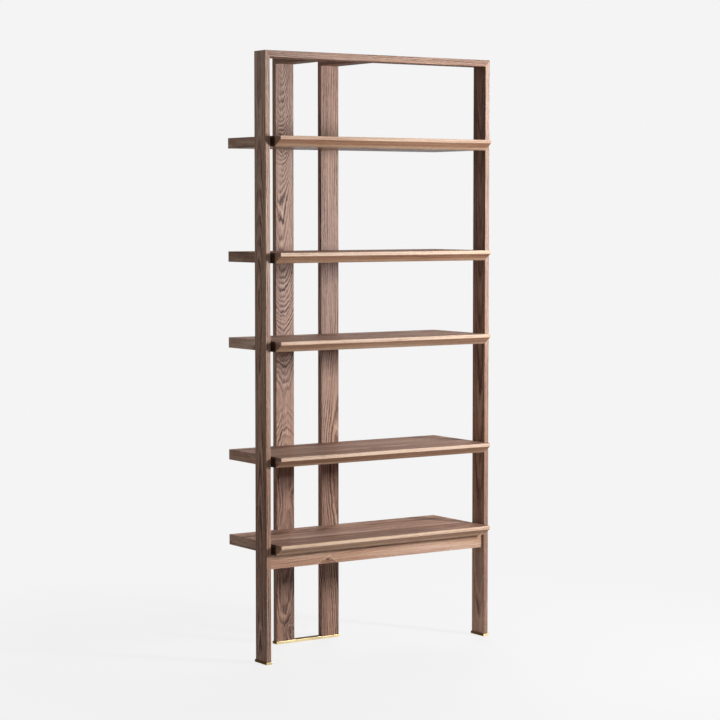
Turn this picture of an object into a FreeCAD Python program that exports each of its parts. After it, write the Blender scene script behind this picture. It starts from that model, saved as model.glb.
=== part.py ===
"""Open walnut bookcase: a slim front portal and two back posts carry five bevelled shelves on brass feet.

Millimetres, X to the right, Y to the back, Z up.
The origin lies on the floor, in the middle of the bookcase's box.
"""
import FreeCAD, Part
import math
import os

Vector = FreeCAD.Vector
X_AXIS = Vector(1, 0, 0)
Y_AXIS = Vector(0, 1, 0)
Z_AXIS = Vector(0, 0, 1)

# Front portal: two uprights set edge-on and a rail laid flat on top, mitred at the corners
overall_height = 2300.0
overall_width = 1040.0
upright_thick = 20.0
upright_depth = 80.0
rail_thick = 25.0

# Shelves: low and tall bays alternate above the lowest one, with a low bay at each end
shelf_count = 5
lowest_shelf_top = 454.0
low_bay_clear = 291.0
shelf_thick = 40.0
shelf_depth = 383.0
shelf_lip = 55.0
shelf_end_gap = 12.0

# Solid front edge of a shelf: a plain nosing over an undercut bevel, tongued into the panel
nosing_height = 13.0
bevel_depth = 40.0
edge_flat = 20.0
tongue_thick = 8.0
tongue_depth = 10.0

# Back posts: set face-on, off centre, let into the back edges of the shelves
post_width = 82.0
post_thick = 25.0
post_pitch = 210.0
post_housing = 8.0

# Apron under the lowest shelf, with stub tenons in the uprights
apron_height = 55.0
apron_thick = 22.0
apron_setback = 12.0
apron_tenon_length = 10.0
apron_tenon_shoulder = 6.0

# Brass feet: a plate under each upright and one bar under both posts
foot_thick = 10.0
foot_overhang = 3.0

# Loose tenons in the corner mitres and at the front ends of the back rails
tenon_thick = 5.0
tenon_edge_margin = 15.0
rail_tenon_length = 40.0
mitre_tenon_bias = 0.65
mitre_tenon_share = 0.45

# Shelf ends: a turned bush keeps the gap, and a connecting bolt runs through it into a cam
bolt_inset = 24.0
bush_radius = 9.0
bolt_radius = 3.5
bolt_neck_radius = 2.4
bolt_neck_length = 5.0
bolt_head_length = 3.0
bolt_wall_left = 7.0
cam_radius = 7.5
cam_distance = 34.0
cam_crown = 3.0
cam_slot_width = 2.0
cam_slot_depth = 2.5

# Back bolts: flat heads sunk in the posts, threaded inserts in the shelves
back_bolt_radius = 3.0
back_bolt_head_radius = 8.5
back_bolt_head_thick = 2.5
back_bolt_socket_radius = 2.3
insert_radius = 5.0
insert_length = 20.0

# Foot screws and apron dowels
screw_radius = 2.2
screw_head_radius = 4.6
screw_head_height = 3.4
screw_length = 45.0
screw_recess = 0.4
screw_spacing = 44.0
dowel_radius = 4.0
dowel_length = 40.0
dowel_count = 4
dowel_end_distance = 150.0

# Eased edges and fits
arris = 1.2
metal_arris = 0.8
end_chamfer = 0.6
fit = 0.2

# Places worked out from the sizes above
half_width = overall_width / 2
upright_inner = half_width - upright_thick
shelf_half = upright_inner - shelf_end_gap
overall_depth = shelf_depth - post_housing + post_thick + foot_overhang
shelf_front = -overall_depth / 2
shelf_back = shelf_front + shelf_depth
upright_front = shelf_front + shelf_lip
upright_back = upright_front + upright_depth
post_front = shelf_back - post_housing
post_back = post_front + post_thick
edge_depth = bevel_depth + edge_flat
rail_under = overall_height - rail_thick
tall_bays = shelf_count // 2
low_bays = shelf_count - tall_bays
shelves_between = (shelf_count - 1) * shelf_thick
tall_bay_clear = (rail_under - lowest_shelf_top - shelves_between - low_bays * low_bay_clear) / tall_bays
bay_clears = [tall_bay_clear if bay % 2 else low_bay_clear for bay in range(shelf_count)]
shelf_tops = [lowest_shelf_top + sum(bay_clears[:shelf]) + shelf * shelf_thick for shelf in range(shelf_count)]
post_lefts = [-shelf_half + post_pitch * (place + 1) for place in range(2)]
post_names = ["left", "right"]
apron_top = lowest_shelf_top - shelf_thick
apron_front = upright_front + apron_setback
bolt_y = upright_back - bolt_inset
bolt_root = upright_thick - bolt_wall_left
tenon_width = upright_depth - 2 * tenon_edge_margin
back_tenon_width = post_width - 2 * tenon_edge_margin


def prism(outline, axis, start, length):
    """Solid with the given flat outline, drawn out along one axis.

    The outline's points are the two coordinates square to the axis, in X, Y, Z order.
    """
    if axis == X_AXIS:
        corners = [Vector(start, first, second) for first, second in outline]
    elif axis == Y_AXIS:
        corners = [Vector(first, start, second) for first, second in outline]
    else:
        corners = [Vector(first, second, start) for first, second in outline]
    face = Part.Face(Part.makePolygon(corners + corners[:1]))
    return face.extrude(axis * length)


def block(low, high):
    """Square-edged block between two opposite corners."""
    size = Vector(*high) - Vector(*low)
    return Part.makeBox(size.x, size.y, size.z, Vector(*low))


def turned(profile, start, direction):
    """Turned piece: the profile's (along, radius) points, revolved about a line."""
    corners = [Vector(along, radius, 0) for along, radius in profile]
    face = Part.Face(Part.makePolygon(corners + corners[:1]))
    piece = face.revolve(Vector(0, 0, 0), X_AXIS, 360)
    piece.Placement = FreeCAD.Placement(start, FreeCAD.Rotation(X_AXIS, direction))
    return piece


def bore(radius, start, direction, length):
    """Round cutter for a hole."""
    return Part.makeCylinder(radius, length, start, direction)


def runs_along(edge, axis):
    """Whether a straight edge lies along an axis."""
    if not isinstance(edge.Curve, Part.Line):
        return False
    return abs(edge.Curve.Direction.dot(axis)) > 0.999


def eased(piece, radius, chosen):
    """The piece with the chosen sharp edges rounded."""
    return piece.makeFillet(radius, [edge for edge in piece.Edges if chosen(edge)])


def eased_board(piece, grain):
    """A board with its four long edges rounded along the grain."""
    return eased(piece, arris, lambda edge: runs_along(edge, grain))


def mirrored(piece):
    """The same piece on the other side of the bookcase's middle."""
    return piece.mirror(Vector(0, 0, 0), X_AXIS)


def mitre_tenon(outer, inner, board_thick, play):
    """Outline of a loose tenon square to a mitre, set nearer to the inner corner where the wood is thickest."""
    along = Vector(inner[0] - outer[0], inner[1] - outer[1], 0)
    middle = Vector(outer[0], outer[1], 0) + along * mitre_tenon_bias
    along.normalize()
    across = Vector(-along.y, along.x, 0) * (board_thick * mitre_tenon_share + play)
    half = along * (tenon_thick / 2 + play)
    corners = [middle + across + half, middle + across - half, middle - across - half, middle - across + half]
    return [(corner.x, corner.y) for corner in corners]


def front_corner_tenon(play=0.0):
    """Loose tenon across the left mitre of the front portal."""
    outline = mitre_tenon((-half_width, overall_height), (-upright_inner, rail_under), upright_thick, play)
    start = upright_front + tenon_edge_margin - play
    return prism(outline, Y_AXIS, start, tenon_width + 2 * play)


def back_corner_tenon(left, play=0.0):
    """Loose tenon across the mitre between a back post and its back rail."""
    outline = mitre_tenon((post_back, overall_height), (post_front, rail_under), post_thick, play)
    return prism(outline, X_AXIS, left + tenon_edge_margin - play, back_tenon_width + 2 * play)


def back_rail_tenon(left, play=0.0):
    """Loose tenon between the front top rail and a back rail."""
    middle = overall_height - rail_thick / 2
    low = (left + tenon_edge_margin - play, upright_back - rail_tenon_length / 2 - play, middle - tenon_thick / 2 - play)
    high = (left + post_width - tenon_edge_margin + play, upright_back + rail_tenon_length / 2 + play,
            middle + tenon_thick / 2 + play)
    return block(low, high)


def apron_tenon(play=0.0):
    """Stub tenon at the apron's left end."""
    low = (-upright_inner - apron_tenon_length - play, apron_front + apron_tenon_shoulder - play,
           apron_top - apron_height + apron_tenon_shoulder - play)
    high = (-upright_inner, apron_front + apron_thick - apron_tenon_shoulder + play,
            apron_top - apron_tenon_shoulder + play)
    return block(low, high)


def shelf_axis_height(top):
    """Height of a shelf's fixings, in the middle of its thickness."""
    return top - shelf_thick / 2


def screw_places():
    """Middle points of the foot screws on the floor: two under each upright and each post."""
    places = []
    for side in (-1, 1):
        x = side * (half_width - upright_thick / 2)
        middle = upright_front + upright_depth / 2
        places += [Vector(x, middle + end * screw_spacing / 2, 0) for end in (-1, 1)]
    for left in post_lefts:
        middle = left + post_width / 2
        places += [Vector(middle + end * screw_spacing / 2, post_front + post_thick / 2, 0) for end in (-1, 1)]
    return places


def screw_profile(play):
    """Countersunk screw, or with play the hole for one, from its head upwards."""
    tip = screw_length + play
    return [(0, 0), (0, screw_head_radius + play), (screw_head_height, screw_radius + play),
            (tip - screw_radius, screw_radius + play), (tip, 0)]


def foot_screw(place):
    """Countersunk screw up through a foot, its head just clear of the floor."""
    return turned(screw_profile(0.0), place + Z_AXIS * screw_recess, Z_AXIS)


def screw_holes():
    """Cutters for the foot screws, open at the floor."""
    holes = []
    for place in screw_places():
        holes.append(turned(screw_profile(fit), place + Z_AXIS * screw_recess, Z_AXIS))
        holes.append(bore(screw_head_radius + fit, place, Z_AXIS, screw_recess))
    return holes


def cut_all(piece, cutters):
    """The piece with every cutter taken away that reaches it."""
    near = [cutter for cutter in cutters if cutter.BoundBox.intersect(piece.BoundBox)]
    return piece.cut(near).Solids[0]


def make_upright():
    """Left upright: mitred top, holes for the shelf bolts, mortises for the tenons."""
    outline = [(-half_width, foot_thick), (-upright_inner, foot_thick),
               (-upright_inner, rail_under), (-half_width, overall_height)]
    body = eased_board(prism(outline, Y_AXIS, upright_front, upright_depth), Z_AXIS)
    cutters = [front_corner_tenon(fit), apron_tenon(fit)] + screw_holes()
    for top in shelf_tops:
        mouth = Vector(-upright_inner, bolt_y, shelf_axis_height(top))
        cutters.append(bore(bolt_radius + fit, mouth, -X_AXIS, bolt_root + fit))
    return cut_all(body, cutters)


def make_top_rail():
    """Front top rail, laid flat and mitred at both ends."""
    outline = [(-half_width, overall_height), (half_width, overall_height),
               (upright_inner, rail_under), (-upright_inner, rail_under)]
    body = eased_board(prism(outline, Y_AXIS, upright_front, upright_depth), X_AXIS)
    cutters = [front_corner_tenon(fit), mirrored(front_corner_tenon(fit))]
    cutters += [back_rail_tenon(left, fit) for left in post_lefts]
    return cut_all(body, cutters)


def make_back_post(left):
    """Back post, face-on, mitred to its back rail and bored for the bolts into the shelves."""
    outline = [(post_front, foot_thick), (post_back, foot_thick), (post_back, overall_height), (post_front, rail_under)]
    body = eased_board(prism(outline, X_AXIS, left, post_width), Z_AXIS)
    cutters = [back_corner_tenon(left, fit)] + screw_holes()
    for top in shelf_tops:
        mouth = Vector(left + post_width / 2, post_back, shelf_axis_height(top))
        cutters.append(bore(back_bolt_radius + fit, mouth, -Y_AXIS, post_thick))
        cutters.append(bore(back_bolt_head_radius + fit, mouth, -Y_AXIS, back_bolt_head_thick + fit))
    return cut_all(body, cutters)


def make_back_rail(left):
    """Back rail: ties a post's top to the front top rail."""
    outline = [(upright_back, rail_under), (post_front, rail_under), (post_back, overall_height),
               (upright_back, overall_height)]
    body = eased_board(prism(outline, X_AXIS, left, post_width), Y_AXIS)
    return cut_all(body, [back_corner_tenon(left, fit), back_rail_tenon(left, fit)])


def tongue_profile(top, play):
    """Outline of a front edge's tongue in a shelf panel, as Y and Z."""
    root = shelf_front + edge_depth
    middle = shelf_axis_height(top)
    half = tongue_thick / 2 + play
    return [(root, middle - half), (root + tongue_depth + play, middle - half),
            (root + tongue_depth + play, middle + half), (root, middle + half)]


def make_shelf_edge(top):
    """Solid front edge of a shelf: nosing, undercut bevel and a tongue at the back."""
    under = top - shelf_thick
    outline = [(shelf_front + edge_depth, top), (shelf_front, top), (shelf_front, top - nosing_height),
               (shelf_front + bevel_depth, under), (shelf_front + edge_depth, under)]
    body = prism(outline, X_AXIS, -shelf_half, 2 * shelf_half)
    joint = shelf_front + edge_depth - arris
    body = eased(body, arris, lambda edge: edge.BoundBox.YMin < joint)
    tongue = prism(tongue_profile(top, 0.0), X_AXIS, -shelf_half, 2 * shelf_half)
    return body.fuse(tongue).removeSplitter().Solids[0]


def make_shelf_panel(top, dowels):
    """Shelf panel: grooved front, bored ends, and notches for the posts in its back edge."""
    joint = shelf_front + edge_depth
    body = block((-shelf_half, joint, top - shelf_thick), (shelf_half, shelf_back, top))
    body = eased(body, arris, lambda edge: edge.BoundBox.YMax > joint + arris and not runs_along(edge, Z_AXIS))
    axis_height = shelf_axis_height(top)
    cutters = [prism(tongue_profile(top, fit), X_AXIS, -shelf_half, 2 * shelf_half)]
    for side in (-1, 1):
        mouth = Vector(side * shelf_half, bolt_y, axis_height)
        cutters.append(bore(bolt_radius + fit, mouth, -X_AXIS * side, cam_distance))
        foot = Vector(side * (shelf_half - cam_distance), bolt_y, top - shelf_thick)
        cutters.append(bore(cam_radius + fit, foot, Z_AXIS, cam_height() + fit))
    for left in post_lefts:
        cutters.append(block((left - fit, post_front, top - shelf_thick), (left + post_width + fit, shelf_back, top)))
        mouth = Vector(left + post_width / 2, post_front, axis_height)
        cutters.append(bore(insert_radius + fit, mouth, -Y_AXIS, insert_length + fit))
    if dowels:
        cutters += [bore(dowel_radius + fit, place, Z_AXIS, dowel_length / 2 + fit) for place in dowel_places()]
    return cut_all(body, cutters)


def make_apron():
    """Front apron under the lowest shelf, tenoned into both uprights."""
    body = block((-upright_inner, apron_front, apron_top - apron_height),
                 (upright_inner, apron_front + apron_thick, apron_top))
    body = eased_board(body, X_AXIS)
    left_tenon = apron_tenon()
    body = body.fuse([left_tenon, mirrored(left_tenon)]).removeSplitter()
    return cut_all(body, [bore(dowel_radius + fit, place, -Z_AXIS, dowel_length / 2 + fit) for place in dowel_places()])


def dowel_places():
    """Middle points of the dowels between the apron and the lowest shelf."""
    reach = shelf_half - dowel_end_distance
    step = 2 * reach / (dowel_count - 1)
    y = apron_front + apron_thick / 2
    return [Vector(-reach + step * place, y, apron_top) for place in range(dowel_count)]


def make_dowel(place):
    """Fluteless beech dowel with chamfered ends."""
    profile = [(0, 0), (0, dowel_radius - end_chamfer), (end_chamfer, dowel_radius),
               (dowel_length - end_chamfer, dowel_radius), (dowel_length, dowel_radius - end_chamfer), (dowel_length, 0)]
    return turned(profile, place - Z_AXIS * dowel_length / 2, Z_AXIS)


def make_front_foot():
    """Brass plate under the left upright, a little larger than the upright all round."""
    low = (-half_width - foot_overhang, upright_front - foot_overhang, 0)
    high = (-upright_inner + foot_overhang, upright_back + foot_overhang, foot_thick)
    return make_foot(low, high)


def make_back_foot():
    """Brass bar under both back posts."""
    low = (post_lefts[0] - foot_overhang, post_front - foot_overhang, 0)
    high = (post_lefts[-1] + post_width + foot_overhang, post_back + foot_overhang, foot_thick)
    return make_foot(low, high)


def make_foot(low, high):
    """Foot plate with every edge broken, countersunk from below."""
    body = eased(block(low, high), metal_arris, lambda edge: True)
    return cut_all(body, screw_holes())


def make_bush(side, top):
    """Turned bush between an upright and a shelf's end, over the connecting bolt."""
    hole = bolt_radius + fit
    profile = [(0, hole), (0, bush_radius - end_chamfer), (end_chamfer, bush_radius),
               (shelf_end_gap - end_chamfer, bush_radius), (shelf_end_gap, bush_radius - end_chamfer),
               (shelf_end_gap, hole)]
    return turned(profile, Vector(side * upright_inner, bolt_y, shelf_axis_height(top)), -X_AXIS * side)


def make_bolt(side, top):
    """Connecting bolt from an upright, through the bush, to the cam in the shelf."""
    tip = bolt_root + shelf_end_gap + cam_distance + bolt_head_length / 2
    neck_end = tip - bolt_head_length
    neck_start = neck_end - bolt_neck_length
    profile = [(0, 0), (0, bolt_radius - end_chamfer), (end_chamfer, bolt_radius), (neck_start, bolt_radius),
               (neck_start, bolt_neck_radius), (neck_end, bolt_neck_radius), (neck_end, bolt_radius),
               (tip, bolt_radius), (tip, 0)]
    start = Vector(side * (upright_inner + bolt_root), bolt_y, shelf_axis_height(top))
    return turned(profile, start, -X_AXIS * side)


def cam_height():
    """Depth of a cam, from the shelf's underside to above the bolt."""
    return shelf_thick / 2 + bolt_radius + cam_crown


def make_cam(side, top):
    """Cam that draws the bolt's head into the shelf, with a cross slot in its flush face."""
    foot = Vector(side * (shelf_half - cam_distance), bolt_y, top - shelf_thick)
    body = bore(cam_radius, foot, Z_AXIS, cam_height())
    heart = foot + Z_AXIS * shelf_thick / 2
    pocket = bore(bolt_radius + fit, heart - X_AXIS * side * bolt_head_length, X_AXIS * side, 2 * cam_radius)
    slots = [block((foot.x - across, foot.y - along, foot.z), (foot.x + across, foot.y + along, foot.z + cam_slot_depth))
             for across, along in ((cam_slot_width / 2, cam_radius / 2), (cam_radius / 2, cam_slot_width / 2))]
    return cut_all(body, [pocket] + slots)


def make_back_bolt(left, top):
    """Flat-headed bolt from behind a post into the shelf's insert."""
    length = post_thick + insert_length - end_chamfer
    profile = [(0, 0), (0, back_bolt_head_radius), (back_bolt_head_thick, back_bolt_head_radius),
               (back_bolt_head_thick, back_bolt_radius), (length, back_bolt_radius), (length, 0)]
    mouth = Vector(left + post_width / 2, post_back, shelf_axis_height(top))
    socket = hexagon_socket(mouth)
    return cut_all(turned(profile, mouth, -Y_AXIS), [socket])


def hexagon_socket(mouth):
    """Cutter for the hexagon socket in a back bolt's head."""
    corners = [(mouth.x + back_bolt_socket_radius * math.cos(math.radians(60 * turn)),
                mouth.z + back_bolt_socket_radius * math.sin(math.radians(60 * turn))) for turn in range(6)]
    return prism(corners, Y_AXIS, mouth.y - back_bolt_head_thick, back_bolt_head_thick)


def make_insert(left, top):
    """Threaded insert in a shelf's back edge, shown plain."""
    hole = back_bolt_radius + fit
    profile = [(0, hole), (0, insert_radius), (insert_length - end_chamfer, insert_radius),
               (insert_length, insert_radius - end_chamfer), (insert_length, hole)]
    return turned(profile, Vector(left + post_width / 2, post_front, shelf_axis_height(top)), -Y_AXIS)


def build():
    """Every node of the bookcase by name, each a list of its solids."""
    upright = make_upright()
    front_foot = make_front_foot()
    nodes = {
        "front_upright_left": [upright],
        "front_upright_right": [mirrored(upright)],
        "front_top_rail": [make_top_rail()],
        "front_apron": [make_apron()],
        "front_foot_left": [front_foot],
        "front_foot_right": [mirrored(front_foot)],
        "back_foot_bar": [make_back_foot()],
    }
    for name, left in zip(post_names, post_lefts):
        nodes["back_post_" + name] = [make_back_post(left)]
        nodes["back_rail_" + name] = [make_back_rail(left)]
    for place, top in enumerate(shelf_tops):
        nodes[f"shelf_panel_{place + 1}"] = [make_shelf_panel(top, dowels=place == 0)]
        nodes[f"shelf_edge_{place + 1}"] = [make_shelf_edge(top)]
    ends = [(side, top) for top in shelf_tops for side in (-1, 1)]
    crossings = [(left, top) for top in shelf_tops for left in post_lefts]
    nodes["shelf_end_bushes"] = [make_bush(side, top) for side, top in ends]
    nodes["shelf_end_bolts"] = [make_bolt(side, top) for side, top in ends]
    nodes["shelf_end_cams"] = [make_cam(side, top) for side, top in ends]
    nodes["post_bolts"] = [make_back_bolt(left, top) for left, top in crossings]
    nodes["shelf_inserts"] = [make_insert(left, top) for left, top in crossings]
    nodes["front_corner_tenons"] = [front_corner_tenon(), mirrored(front_corner_tenon())]
    nodes["back_corner_tenons"] = [back_corner_tenon(left) for left in post_lefts]
    nodes["back_rail_tenons"] = [back_rail_tenon(left) for left in post_lefts]
    nodes["apron_dowels"] = [make_dowel(place) for place in dowel_places()]
    nodes["foot_screws"] = [foot_screw(place) for place in screw_places()]
    return nodes


def main():
    """Write one STEP file for each node."""
    os.makedirs("parts", exist_ok=True)
    for name, solids in build().items():
        shape = solids[0] if len(solids) == 1 else Part.makeCompound(solids)
        shape.exportStep(os.path.join("parts", name + ".step"))
        print(f"{name}: {len(shape.Solids)} solid(s), valid {shape.isValid()}, {shape.Volume / 1000:.1f} cm3")
    print(f"overall {overall_width + 2 * foot_overhang:.0f} x {overall_depth:.0f} x {overall_height:.0f} mm")


main()
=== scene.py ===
"""Looks of the open walnut bookcase: finishes, turned fittings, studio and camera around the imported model.

Metres, X to the right, Y to the back, Z up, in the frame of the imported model.
"""

import logging
import math
from collections.abc import Sequence
from dataclasses import dataclass, fields, replace
from enum import Enum
from typing import Union

import bpy
from bpy.types import ID, Material, Node, NodeSocket, NodeTree, Object
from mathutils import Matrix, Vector


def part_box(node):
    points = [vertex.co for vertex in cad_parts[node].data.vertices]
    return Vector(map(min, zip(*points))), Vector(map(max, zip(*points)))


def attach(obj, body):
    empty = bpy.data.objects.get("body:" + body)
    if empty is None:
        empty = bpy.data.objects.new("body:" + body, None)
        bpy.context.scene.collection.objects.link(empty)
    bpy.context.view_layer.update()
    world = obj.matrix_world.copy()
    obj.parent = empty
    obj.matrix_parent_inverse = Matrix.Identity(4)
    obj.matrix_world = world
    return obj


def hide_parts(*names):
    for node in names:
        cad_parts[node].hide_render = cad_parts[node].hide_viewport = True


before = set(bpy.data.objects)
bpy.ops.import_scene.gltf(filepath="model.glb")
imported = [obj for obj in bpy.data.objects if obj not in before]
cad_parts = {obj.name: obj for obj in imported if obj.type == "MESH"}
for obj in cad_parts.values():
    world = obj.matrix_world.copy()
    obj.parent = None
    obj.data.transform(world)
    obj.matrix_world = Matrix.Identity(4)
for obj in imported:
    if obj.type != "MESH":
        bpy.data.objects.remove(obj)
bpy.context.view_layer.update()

log = logging.getLogger("bookcase")

Feed = Union["Value", float, int, str, tuple, list, Vector, Material]
Inputs = dict[str | int, Feed]
Colour = tuple[float, float, float]
Point = tuple[float, float, float]
Pair = tuple[float, float]
Places = list[tuple[Point, Point]]

MILLIMETRES = 1000.0
SHELF_COUNT = 5
FACE_SKIN = 0.0004
FACE_REACH = 0.0016
POSTS = ("back_post_left", "back_post_right")
SIDES = (-1.0, 1.0)
BACK: Point = (0.0, 1.0, 0.0)
DOWN: Point = (0.0, 0.0, -1.0)


@dataclass(frozen=True)
class Layer:
    """Soft noise: how long its features are along each axis, its finer layers, and its reach about 0."""

    sizes: Point
    detail: float
    reach: float = 1.0


class Value:
    """What a socket of a node tree gives, open to arithmetic that adds further nodes."""

    def __init__(self, sketch: "NodeSketch", socket: NodeSocket) -> None:
        """Keeps the socket and the sketch of its tree."""
        self.sketch = sketch
        self.socket = socket

    def math(self, operation: str, *others: Feed, clamp: bool = False) -> "Value":
        """Adds one step of arithmetic, with this as its first operand."""
        operands = dict(enumerate((self, *others)))
        return self.sketch.value("ShaderNodeMath", operands, operation=operation, use_clamp=clamp)

    def __add__(self, other: Feed) -> "Value":
        """Adds a value or a number."""
        return self.math("ADD", other)

    def __sub__(self, other: Feed) -> "Value":
        """Takes a value or a number away."""
        return self.math("SUBTRACT", other)

    def __mul__(self, other: Feed) -> "Value":
        """Multiplies by a value or a number."""
        return self.math("MULTIPLY", other)

    def __truediv__(self, other: Feed) -> "Value":
        """Divides by a value or a number."""
        return self.math("DIVIDE", other)

    def __neg__(self) -> "Value":
        """Turns the sign round."""
        return self * -1.0

    def __rsub__(self, other: float) -> "Value":
        """Takes this away from a number."""
        return -self + other

    __radd__ = __add__
    __rmul__ = __mul__

    def between(self, low: float, high: float) -> "Value":
        """Gives low where this is 0, and high where it is 1."""
        return self * (high - low) + low

    def step(self, low: Feed, high: Feed) -> "Value":
        """Rises smoothly from 0 to 1 while this goes from low to high."""
        limits = {"Value": self, "From Min": low, "From Max": high}
        return self.sketch.value("ShaderNodeMapRange", limits, interpolation_type="SMOOTHSTEP")

    def hump(self, start: float, crest: float, fall: float, end: float) -> "Value":
        """Rises from 0 to 1 between the first two limits, and falls back between the last two."""
        return self.step(start, crest) - self.step(fall, end)

    def skin(self, face: float, reach: float = FACE_REACH) -> "Value":
        """Gives 1 on a face, and 0 from a reach away from it."""
        return self.step(face + reach, face + math.copysign(FACE_SKIN, reach))

    def bell(self, narrowness: float = 1.0) -> "Value":
        """Gives 1 where this is 0, and falls off smoothly on both sides."""
        return (self * self * -narrowness).math("EXPONENT")

    def hypot(self, other: Feed) -> "Value":
        """Gives the long side of a right triangle whose short sides are this and another."""
        return (self * self + other * other).math("SQRT")

    def swing(self, reach: Feed) -> "Value":
        """Turns a number about 0.5 into one about 0 with the given reach."""
        return (self - 0.5) * reach

    def noise(self, layer: Layer) -> "Value":
        """Reads a layer of noise at this place, as a number about 0.5."""
        place = self.sketch.value("ShaderNodeVectorMath", {0: self, 1: layer.sizes}, operation="DIVIDE")
        return self.sketch.value("ShaderNodeTexNoise",
                                 {"Vector": place, "Scale": 1.0, "Detail": layer.detail})

    def waver(self, layer: Layer) -> "Value":
        """Reads a layer of noise at this place, as a number about 0 with the layer's reach."""
        return self.noise(layer).swing(layer.reach)

    def chance(self) -> "Value":
        """Gives each whole number its own fixed share between 0 and 1."""
        return self.sketch.value("ShaderNodeTexWhiteNoise", {"W": self}, noise_dimensions="1D")

    def parts(self) -> tuple["Value", ...]:
        """Takes a vector's three numbers apart."""
        return tuple(self.sketch.results("ShaderNodeSeparateXYZ", {"Vector": self}).values())

    def ramp(self, *colours: Colour) -> "Value":
        """Turns a number from 0 to 1 into a colour.

        Args:
            colours: the colours to pass through, evenly spread.

        Returns:
            The colour.
        """
        node = self.sketch.node("ShaderNodeValToRGB", {"Fac": self})
        stops = node.color_ramp.elements
        for _ in colours[2:]:
            stops.new(1.0)
        for number, (stop, colour) in enumerate(zip(stops, colours)):
            stop.position = number / (len(colours) - 1)
            stop.color = (*colour, 1.0)
        return Value(self.sketch, node.outputs["Color"])


class Blend(Enum):
    """What a mix node blends: the numbers of its two inputs and of its output."""

    VECTOR = (4, 5, 1)
    RGBA = (6, 7, 2)


class NodeSketch:
    """Adds and links the nodes of one tree."""

    def __init__(self, tree: NodeTree) -> None:
        """Starts on an existing tree."""
        self.tree = tree

    def declare(self, way: str, kind: str, *names: str) -> list[str]:
        """Names inputs or outputs of a node group, and gives their identifiers."""
        new = self.tree.interface.new_socket
        return [new(name=name, in_out=way, socket_type="NodeSocket" + kind).identifier for name in names]

    def fill(self, node: Node, inputs: Inputs) -> None:
        """Links a node's inputs to values, or gives them numbers of their own.

        Args:
            node: the node.
            inputs: what goes into its inputs, by name or number; a list goes into one input together.
        """
        for key, source in inputs.items():
            for entry in source if isinstance(source, list) else [source]:
                if isinstance(entry, Value):
                    self.tree.links.new(entry.socket, node.inputs[key])
                else:
                    node.inputs[key].default_value = entry

    def node(self, kind: str, inputs: Inputs | None = None, **settings: object) -> Node:
        """Adds a node.

        Args:
            kind: the node's type.
            inputs: what goes into its inputs.
            settings: its own properties.

        Returns:
            The new node.
        """
        node = self.tree.nodes.new(kind)
        for name, setting in settings.items():
            setattr(node, name, setting)
        self.fill(node, inputs or {})
        return node

    def value(self, kind: str, inputs: Inputs | None = None, out: str | int = 0,
              **settings: object) -> Value:
        """Adds a node and gives one of its results, the first unless another is asked for."""
        return Value(self, self.node(kind, inputs, **settings).outputs[out])

    def results(self, kind: str, inputs: Inputs | None = None, **settings: object) -> dict[str, Value]:
        """Adds a node and gives all its results by name."""
        return {socket.name: Value(self, socket) for socket in self.node(kind, inputs, **settings).outputs}

    def spot(self) -> Value:
        """Gives the place on the object, in metres."""
        return self.value("ShaderNodeTexCoord", out="Object")

    def join(self, first: Feed, second: Feed, third: Feed) -> Value:
        """Makes a vector of three numbers."""
        return self.value("ShaderNodeCombineXYZ", {"X": first, "Y": second, "Z": third})

    def mix(self, share: Feed, first: Feed, second: Feed, blend: Blend = Blend.RGBA) -> Value:
        """Blends two colours or vectors."""
        start, end, out = blend.value
        return self.value("ShaderNodeMix", {0: share, start: first, end: second}, out, data_type=blend.name)


class MaterialSketch(NodeSketch):
    """Adds and links the nodes of a new material."""

    def __init__(self, name: str) -> None:
        """Starts the material.

        Args:
            name: its name.
        """
        self.material = bpy.data.materials.new(name)
        self.material.use_nodes = True
        super().__init__(self.material.node_tree)
        self.shader = self.tree.nodes["Principled BSDF"]

    def surface(self, inputs: Inputs) -> Material:
        """Feeds the surface shader and gives the finished material."""
        self.fill(self.shader, inputs)
        return self.material


def titles(kind: type) -> dict[str, str]:
    """Gives the names of the inputs that a dataclass's numbers go into, and the numbers' own names."""
    names = [entry.name for entry in fields(kind) if entry.type is float]
    return {name.replace("_", " ").title(): name for name in names}


def add_object(name: str, data: ID) -> Object:
    """Adds an object to the scene.

    Args:
        name: its name.
        data: its mesh, lamp or camera.

    Returns:
        The new object.
    """
    made = bpy.data.objects.new(name, data)
    bpy.context.scene.collection.objects.link(made)
    return made


class Grain(Enum):
    """Lie of a board: the axes along its fibres, across its width and through its thickness."""

    STANDING_SIDEWAYS = (2, 1, 0)
    STANDING_FACING = (2, 0, 1)
    CROSSING_FLAT = (0, 1, 2)
    CROSSING_FACING = (0, 2, 1)
    RUNNING_BACK = (1, 0, 2)


@dataclass(frozen=True)
class Figure:
    """How a board was sawn and how its rings run, in millimetres, and how its tone changes per metre."""

    seed: float
    pith_depth: float = 70.0
    pith_side: float = 0.0
    lean: float = 0.0
    turn: float = -3000.0
    turn_back: float = 9000.0
    swerve: float = 0.0
    wander: float = 20.0
    ring: float = 5.5
    wave: float = 1.2
    contrast: float = 0.30
    tone: float = 0.50
    fade: float = 0.0
    # how much darker the board grows towards its lower end, below the turn back
    heart: float = 0.0
    warmth: float = 0.35


@dataclass(frozen=True)
class Staves:
    """Boards glued up to a shelf: seams in millimetres from its front, tones between them and at its ends."""

    seams: tuple[float, ...]
    tones: tuple[float, ...]
    end_tone: float
    nosing_lift: float
    nosing_warmth: float = 0.35
    bevel_lift: float = 0.10


class KnotForm(Enum):
    """How the rings pass a knot: round it on both sides, or over it in a hill."""

    ROUND = "round"
    HILL = "hill"


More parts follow.
